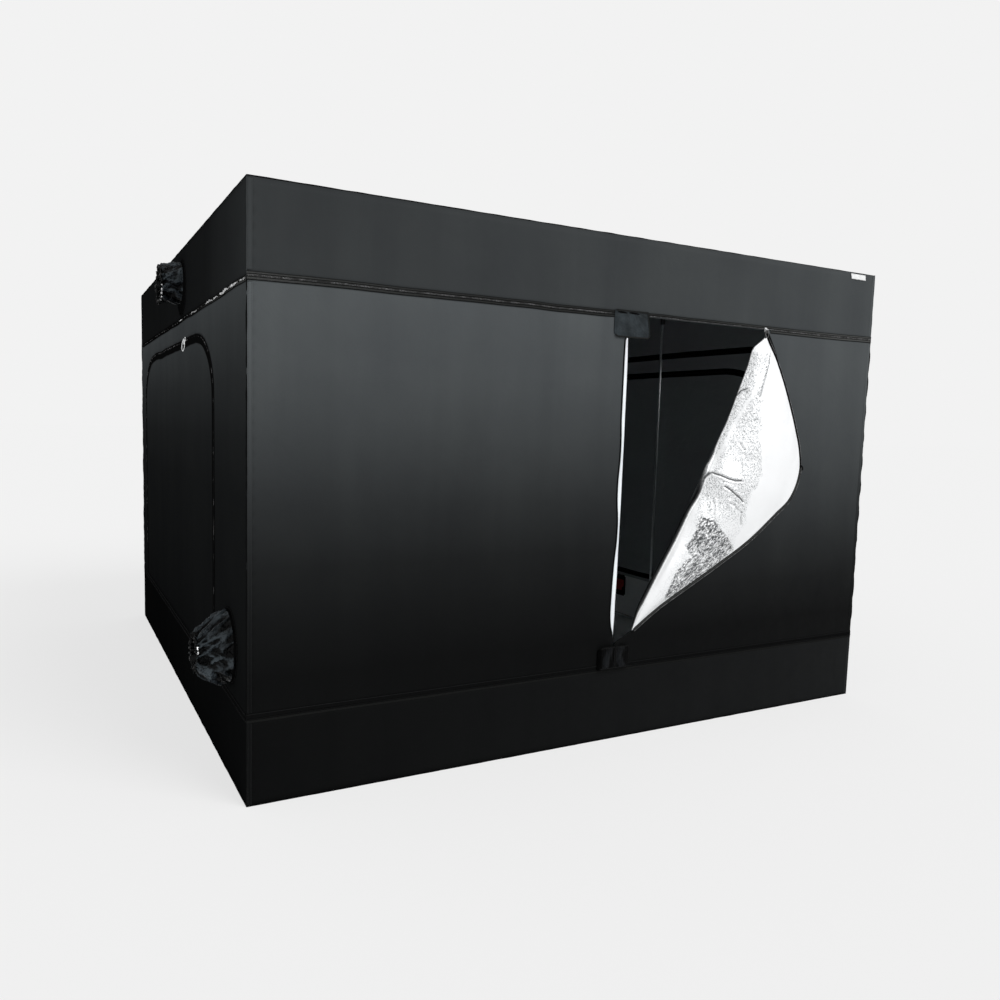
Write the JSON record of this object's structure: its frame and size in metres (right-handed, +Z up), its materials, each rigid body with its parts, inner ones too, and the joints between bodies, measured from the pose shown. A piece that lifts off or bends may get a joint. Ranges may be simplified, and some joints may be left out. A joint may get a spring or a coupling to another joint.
{
  "type": "indoor grow tent",
  "caption": "Square indoor grow tent: steel pole frame under black cloth with silver lining, zipped front doors with one corner folded out, zipped side doors and gathered duct ports.",
  "frame": {"origin": "middle of the floor's underside, on the ground", "axes": "+Z up; the front with the open door faces -Y; the wall with the duct socks faces -X"},
  "size_m": [3.0589, 2.9912, 2],
  "materials": {
    "black_cloth": "satin",
    "silver_lining": "satin",
    "black_nylon": "satin",
    "red_cloth": "matte",
    "white_patch": "matte",
    "white_steel": "satin",
    "connector_plastic": "matte",
    "lock_plastic": "gloss",
    "bright_metal": "gloss"
  },
  "bodies": {
    "tent": {"corner_connector_front_left_low": "connector_plastic", "corner_connector_front_right_low": "connector_plastic", "corner_connector_rear_left_low": "connector_plastic", "corner_connector_rear_right_low": "connector_plastic", "corner_connector_front_left_top": "connector_plastic", "corner_connector_front_right_top": "connector_plastic", "corner_connector_rear_left_top": "connector_plastic", "corner_connector_rear_right_top": "connector_plastic", "front_low_rail": "white_steel", "rear_low_rail": "white_steel", "left_low_rail": "white_steel", "right_low_rail": "white_steel", "front_top_rail": "white_steel", "rear_top_rail": "white_steel", "left_top_rail": "white_steel", "right_top_rail": "white_steel", "front_left_post": "white_steel", "front_right_post": "white_steel", "rear_left_post": "white_steel", "rear_right_post": "white_steel", "left_mid_post": "white_steel", "right_mid_post": "white_steel", "left_mid_tee_low": "connector_plastic", "left_mid_tee_top": "connector_plastic", "right_mid_tee_low": "connector_plastic", "right_mid_tee_top": "connector_plastic", "roof_panel": "black_cloth", "floor_panel": "black_cloth", "front_head_band": "black_cloth", "front_base_band": "black_cloth", "left_head_band": "black_cloth", "left_wall_panel": "black_cloth", "left_base_band": "black_cloth", "right_wall": "black_cloth", "rear_wall": "black_cloth", "upper_duct_sock": "black_nylon", "lower_duct_sock": "black_nylon", "vent_mesh": "black_nylon", "blank_label": "white_patch"},
    "left_front_door": {"left_front_door": "black_cloth"},
    "right_front_door": {"right_front_door": "black_cloth"},
    "right_door_flap": {"right_door_flap": "silver_lining"},
    "left_side_door": {"left_side_door": "black_cloth"},
    "right_side_door": {"right_side_door": "black_cloth"},
    "top_tab": {"top_tab": "black_nylon"},
    "left_bottom_tab": {"left_bottom_tab": "black_nylon"},
    "right_bottom_tab": {"right_bottom_tab": "black_nylon"},
    "upper_cord_lock": {"upper_cord_lock": "lock_plastic"},
    "lower_cord_lock": {"lower_cord_lock": "lock_plastic"},
    "top_zip_slider": {"top_zip_slider": "bright_metal"},
    "top_zip_pull": {"top_zip_pull": "bright_metal"},
    "centre_zip_slider": {"centre_zip_slider": "bright_metal"},
    "centre_zip_pull": {"centre_zip_pull": "bright_metal"},
    "left_door_zip_slider": {"left_door_zip_slider": "bright_metal"},
    "left_door_zip_pull": {"left_door_zip_pull": "bright_metal"},
    "right_door_zip_slider": {"right_door_zip_slider": "bright_metal"},
    "right_door_zip_pull": {"right_door_zip_pull": "bright_metal"},
    "front_hanging_bar": {"front_hanging_bar": "white_steel"},
    "rear_hanging_bar": {"rear_hanging_bar": "white_steel"},
    "vent_flap": {"vent_flap": "red_cloth"}
  },
  "joints": [
    {"name": "left_front_door_swing", "type": "hinge", "parent": "tent", "child": "left_front_door", "pos_m": [-1.45, -1.45, 1], "axis": [0, 0, -1], "range_deg": [0, 120]},
    {"name": "right_front_door_swing", "type": "hinge", "parent": "tent", "child": "right_front_door", "pos_m": [1.45, -1.45, 1], "axis": [0, 0, 1], "range_deg": [0, 120]},
    {"name": "right_door_flap_unfold", "type": "hinge", "parent": "right_front_door", "child": "right_door_flap", "pos_m": [0.105, -1.4509, 0.443], "axis": [-0.4704, 0, -0.8825], "range_deg": [0, 177]},
    {"name": "left_side_door_drop", "type": "hinge", "parent": "tent", "child": "left_side_door", "pos_m": [-1.45, 0.165, 0.31], "axis": [0, -1, 0], "range_deg": [0, 100]},
    {"name": "right_side_door_drop", "type": "hinge", "parent": "tent", "child": "right_side_door", "pos_m": [1.45, 0.165, 0.31], "axis": [0, 1, 0], "range_deg": [0, 100]},
    {"name": "top_tab_open", "type": "hinge", "parent": "left_front_door", "child": "top_tab", "pos_m": [-0.045, -1.4519, 1.6675], "axis": [0, 0, -1], "range_deg": [0, 150]},
    {"name": "left_bottom_tab_open", "type": "hinge", "parent": "left_front_door", "child": "left_bottom_tab", "pos_m": [-0.063, -1.4503, 0.343], "axis": [0, 0, -1], "range_deg": [0, 85]},
    {"name": "right_bottom_tab_open", "type": "hinge", "parent": "right_front_door", "child": "right_bottom_tab", "pos_m": [0.095, -1.4503, 0.343], "axis": [0, 0, 1], "range_deg": [0, 85]},
    {"name": "upper_cord_lock_slide", "type": "slide", "parent": "tent", "child": "upper_cord_lock", "axis": [-1, 0, 0], "range_m": [0, 0.03]},
    {"name": "lower_cord_lock_slide", "type": "slide", "parent": "tent", "child": "lower_cord_lock", "axis": [-1, 0, 0], "range_m": [0, 0.03]},
    {"name": "top_zip_slide", "type": "slide", "parent": "right_front_door", "child": "top_zip_slider", "axis": [1, 0, 0], "range_m": [0, 0.6]},
    {"name": "top_zip_pull_swing", "type": "hinge", "parent": "top_zip_slider", "child": "top_zip_pull", "pos_m": [0.762, -1.4601, 1.7], "axis": [-1, 0, 0], "range_deg": [0, 150]},
    {"name": "centre_zip_slide", "type": "slide", "parent": "left_front_door", "child": "centre_zip_slider", "axis": [0, 0, 1], "range_m": [0, 0.045]},
    {"name": "centre_zip_pull_swing", "type": "hinge", "parent": "centre_zip_slider", "child": "centre_zip_pull", "pos_m": [0.009, -1.4601, 0.345], "axis": [-1, 0, 0], "range_deg": [0, 5]},
    {"name": "left_door_zip_slide", "type": "slide", "parent": "left_side_door", "child": "left_door_zip_slider", "axis": [0, 1, 0], "range_m": [-0.3, 1.2]},
    {"name": "left_door_zip_pull_swing", "type": "hinge", "parent": "left_door_zip_slider", "child": "left_door_zip_pull", "pos_m": [-1.4601, -0.28, 1.6], "axis": [0, 1, 0], "range_deg": [0, 150]},
    {"name": "right_door_zip_slide", "type": "slide", "parent": "right_side_door", "child": "right_door_zip_slider", "axis": [0, 1, 0], "range_m": [-0.3, 1.2]},
    {"name": "right_door_zip_pull_swing", "type": "hinge", "parent": "right_door_zip_slider", "child": "right_door_zip_pull", "pos_m": [1.4601, -0.28, 1.6], "axis": [0, -1, 0], "range_deg": [0, 150]},
    {"name": "front_hanging_bar_slide", "type": "slide", "parent": "tent", "child": "front_hanging_bar", "axis": [0, 1, 0], "range_m": [-0.45, 0.45]},
    {"name": "rear_hanging_bar_slide", "type": "slide", "parent": "tent", "child": "rear_hanging_bar", "axis": [0, 1, 0], "range_m": [-0.45, 0.45]},
    {"name": "vent_flap_lift", "type": "hinge", "parent": "tent", "child": "vent_flap", "pos_m": [1.4515, 0.43, 0.286], "axis": [0, -1, 0], "range_deg": [0, 85]}
  ]
}
